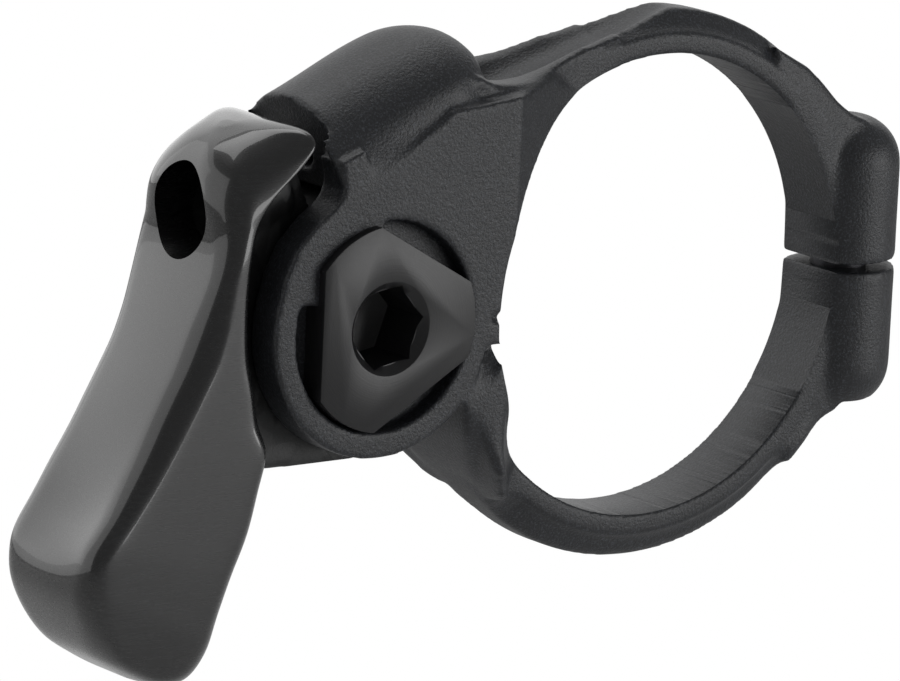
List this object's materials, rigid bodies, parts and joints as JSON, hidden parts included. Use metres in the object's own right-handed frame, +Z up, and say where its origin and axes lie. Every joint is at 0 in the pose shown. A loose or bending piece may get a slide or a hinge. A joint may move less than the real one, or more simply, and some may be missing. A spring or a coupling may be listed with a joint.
{
  "type": "dropper post remote lever",
  "caption": "Under-bar thumb lever on a split handlebar clamp, turning on cartridge bearings and pulling a cable through a round-topped boss.",
  "frame": {"origin": "centre of the bar bore, at the middle of the clamp's band", "axes": "+Y along the handlebar, away from the pivot bolt's cap; +X towards the clamp's split; +Z up, with the lever on the -X side"},
  "size_m": [0.0701, 0.0132, 0.0421],
  "materials": {
    "blasted_alloy": "bead-blasted, black anodised",
    "turned_black": "turned, black anodised",
    "dark_screw": "black oxide",
    "moulded_carbon": "gloss clear coat over moulded carbon",
    "bearing_steel": "ground",
    "spring_steel": "drawn",
    "cage_brass": "pressed",
    "seal_rubber": "matt"
  },
  "bodies": {
    "clamp": {"clamp_body": "blasted_alloy", "clamp_bolt": "dark_screw", "clamp_bolt_washer": "bearing_steel", "pivot_bolt": "turned_black", "front_inner_race": "bearing_steel", "rear_inner_race": "bearing_steel", "bearing_spacer": "bearing_steel", "front_thrust_washer": "bearing_steel", "rear_thrust_washer": "bearing_steel", "return_spring": "spring_steel"},
    "lever": {"lever": "moulded_carbon", "front_outer_race": "bearing_steel", "front_balls": "bearing_steel", "front_cage": "cage_brass", "front_outer_seal": "seal_rubber", "front_inner_seal": "seal_rubber", "rear_outer_race": "bearing_steel", "rear_balls": "bearing_steel", "rear_cage": "cage_brass", "rear_outer_seal": "seal_rubber", "rear_inner_seal": "seal_rubber"}
  },
  "joints": [
    {"name": "lever_pivot", "type": "hinge", "parent": "clamp", "child": "lever", "pos_m": [-0.0255, 0, 0.0003], "axis": [0, -1, 0], "range_deg": [0, 24], "stiffness_Nm_per_rad": 0.02, "springref_deg": -57.3, "deforming": ["return_spring"]}
  ]
}
